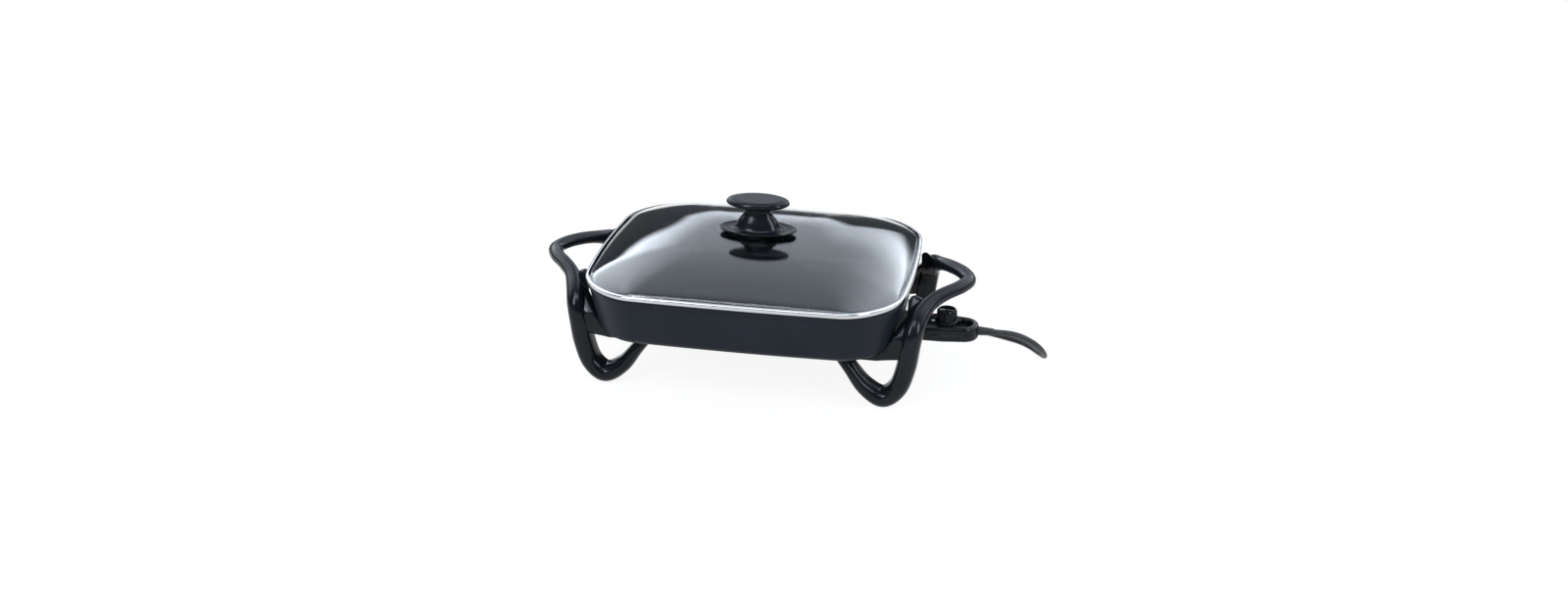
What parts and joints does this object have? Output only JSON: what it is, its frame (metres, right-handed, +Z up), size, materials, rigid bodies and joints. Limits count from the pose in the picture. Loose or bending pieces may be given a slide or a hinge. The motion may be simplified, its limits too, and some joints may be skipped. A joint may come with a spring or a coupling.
{
  "type": "electric skillet",
  "caption": "Oblong cast electric skillet on two looped handle-and-leg mouldings, with a banded glass lid, oval knob and plug-in heat control with dial and coiled cord.",
  "frame": {"origin": "on the table, midway between the four feet, which is under the middle of the pan and its knob; the finger ring reaches a little further out than the left grip, so the middle of the box lies 3.3 mm towards +X", "axes": "+Z up, +X towards the heat control, -Y towards the front long side of the pan"},
  "size_m": [0.653, 0.4561, 0.2235],
  "materials": {
    "pan_coating": "satin charcoal non-stick coating",
    "element_steel": "heat-tinted steel sheath",
    "bright_steel": "bright nickel-plated steel",
    "ceramic": "unglazed ceramic",
    "black_moulding": "satin black phenolic",
    "screw_steel": "zinc-plated steel",
    "gloss_black": "glossy black phenolic",
    "lid_glass": "clear tempered glass",
    "band_steel": "polished stainless steel",
    "gasket_rubber": "matt silicone",
    "control_black": "black phenolic with a soft gloss",
    "pilot_red": "clear red lens",
    "lamp_glass": "neon lamp glass",
    "brass": "bright brass",
    "cord_rubber": "satin black rubber",
    "tie_plastic": "satin black plastic",
    "plug_black": "moulded black vinyl"
  },
  "bodies": {
    "base": {"pan_body": "pan_coating", "heating_element": "element_steel", "terminal_pins": "bright_steel", "pin_insulators": "ceramic", "terminal_guard": "black_moulding", "guard_screws": "screw_steel", "handle_leg_left": "gloss_black", "handle_leg_right": "gloss_black", "handle_screws": "screw_steel", "handle_washers": "screw_steel"},
    "lid": {"lid_glass": "lid_glass", "lid_band": "band_steel", "knob_grip": "gloss_black", "knob_base": "gloss_black", "knob_gasket": "gasket_rubber", "knob_washer": "black_moulding", "knob_screw": "screw_steel"},
    "heat_control": {"control_upper": "control_black", "control_lower": "control_black", "control_screws": "screw_steel", "pilot_lens": "pilot_red", "pilot_lamp": "lamp_glass", "sensor_probe": "bright_steel", "contact_sockets": "brass", "switch_block": "ceramic", "switch_leaves": "brass", "strain_relief": "cord_rubber", "cord_run": "cord_rubber", "cord_coil": "cord_rubber", "coil_tie": "tie_plastic", "plug_body": "plug_black", "plug_blades": "brass"},
    "dial": {"dial": "control_black", "dial_shaft": "bright_steel"}
  },
  "joints": [
    {"name": "lid_lift", "type": "slide", "parent": "base", "child": "lid", "axis": [0, 0, 1], "range_m": [0, 0.15]},
    {"name": "control_pull", "type": "slide", "parent": "base", "child": "heat_control", "axis": [1, 0, 0], "range_m": [0, 0.095]},
    {"name": "dial_turn", "type": "hinge", "parent": "heat_control", "child": "dial", "pos_m": [0.245, 0, 0.065], "axis": [0, 0, 1], "range_deg": [-270, 0]}
  ]
}
